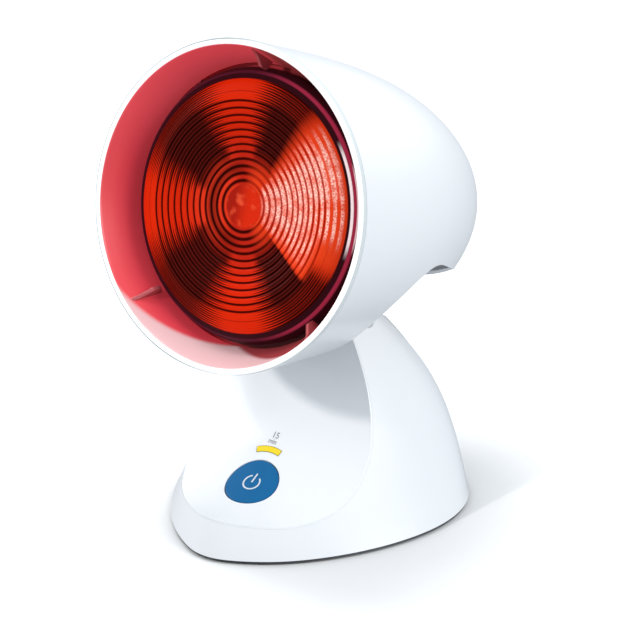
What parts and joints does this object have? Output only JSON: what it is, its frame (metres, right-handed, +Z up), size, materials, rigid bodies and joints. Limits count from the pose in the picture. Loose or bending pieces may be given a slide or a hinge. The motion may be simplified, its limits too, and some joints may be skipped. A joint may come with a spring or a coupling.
{
  "type": "infrared heat lamp",
  "caption": "Table-top infrared heat lamp with a tilting horn-shaped shade, a stepped red lamp and a flared base with a round button.",
  "frame": {"origin": "on the table at the centre of the overall box's underside, straight below the tilt axis", "axes": "+Z up, the lamp shines towards -Y, +X is the tilt axis direction to the right as seen from the front"},
  "size_m": [0.1454, 0.1847, 0.2333],
  "materials": {
    "white_shell": "satin moulded",
    "white_liner": "gloss moulded",
    "red_glass": "pressed, tinted",
    "silvered_glass": "silvered inside",
    "brass": "nickel-plated",
    "steel": "zinc-plated",
    "ceramic": "glazed ceramic",
    "black_insulator": "matte",
    "heat_plastic": "matte moulded",
    "friction_fibre": "matte",
    "blue_button": "gloss",
    "amber_lens": "translucent",
    "dark_plate": "textured",
    "rubber": "matte",
    "board_green": "lacquered",
    "black_part": "matte",
    "film_case": "gloss",
    "lead_sheath": "silicone"
  },
  "bodies": {
    "base": {"base_shell": "white_shell", "front_panel": "white_shell", "base_plate": "dark_plate", "rubber_feet": "rubber", "base_screws": "steel", "control_board": "board_green", "control_board_screws": "steel", "tact_switch": "black_part", "status_led": "amber_lens", "light_guide": "amber_lens", "power_board": "board_green", "power_board_screws": "steel", "relay": "black_part", "terminal_block": "board_green", "fuse": "black_part", "film_capacitor": "film_case", "electrolytic_capacitor": "black_part", "ribbon_lead": "lead_sheath", "cord_gland": "black_part", "lead_lower": "lead_sheath"},
    "button": {"power_button": "blue_button", "switch_plunger": "black_part"},
    "head": {"shade": "white_shell", "shade_liner": "white_liner", "lamp_housing": "heat_plastic", "housing_screws": "steel", "bulb_lens": "red_glass", "bulb_reflector": "silvered_glass", "bulb_cap": "brass", "bulb_insulator": "black_insulator", "bulb_contact": "brass", "filament": "steel", "filament_posts": "steel", "lampholder_body": "ceramic", "lampholder_thread": "brass", "lampholder_contact": "brass", "lampholder_screws": "steel", "pivot_screws": "steel", "pivot_nuts": "steel", "friction_washers": "friction_fibre", "spring_washers": "steel", "lead_upper": "lead_sheath", "lead_clip": "black_part"}
  },
  "joints": [
    {"name": "head_tilt", "type": "hinge", "parent": "base", "child": "head", "pos_m": [0, 0, 0.094], "axis": [-1, 0, 0], "range_deg": [-16.8, 13.2]},
    {"name": "button_press", "type": "slide", "parent": "base", "child": "button", "axis": [0, 0.4384, -0.8988], "range_m": [0, 0.001], "stiffness_N_per_m": 900}
  ]
}
